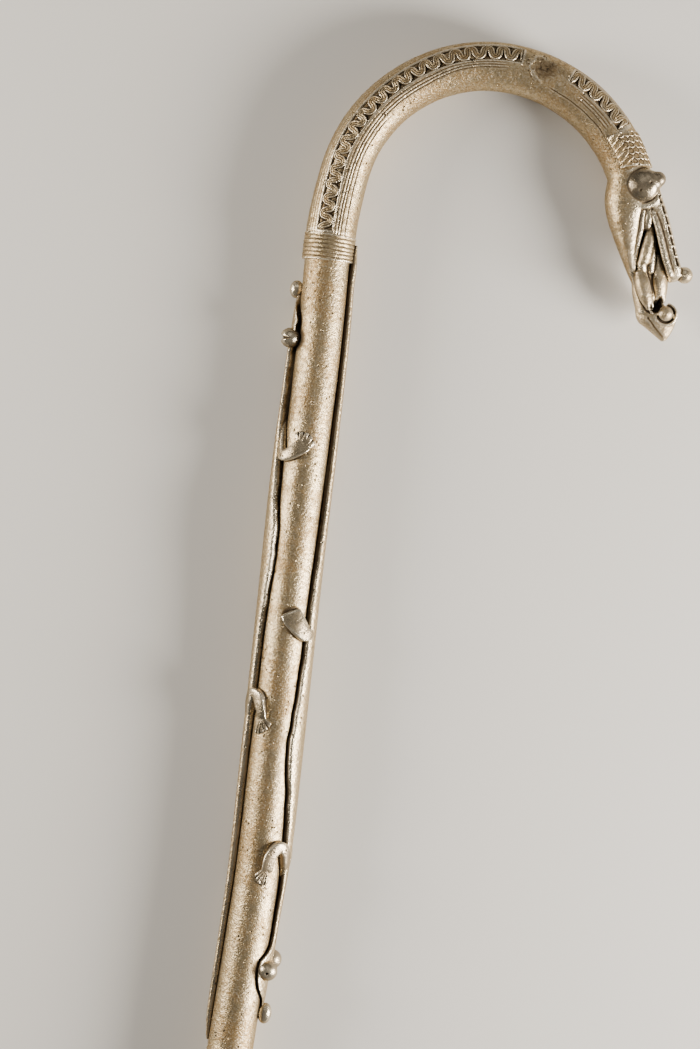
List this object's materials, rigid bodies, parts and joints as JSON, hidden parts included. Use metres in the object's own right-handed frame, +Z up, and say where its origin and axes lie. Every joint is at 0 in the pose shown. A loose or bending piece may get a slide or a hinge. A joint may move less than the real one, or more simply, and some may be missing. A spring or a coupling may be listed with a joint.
{
  "type": "ceremonial staff",
  "caption": "Cast metal crook staff, lying on its side: ringed collar, patterned crook ending in a crocodile's head with a small animal in its jaws, and crocodiles in relief along the shaft.",
  "frame": {"origin": "on the floor, under the middle of the lying staff's outline", "axes": "+Y along the shaft from the foot to the crook, +X the way the crook bends, +Z up from the floor"},
  "size_m": [0.257, 1.0708, 0.0368],
  "materials": {
    "metal": "pale cast copper alloy, worn, with dirt in the hollows and polished high spots"
  },
  "bodies": {
    "root": {"staff": "metal"}
  },
  "joints": []
}
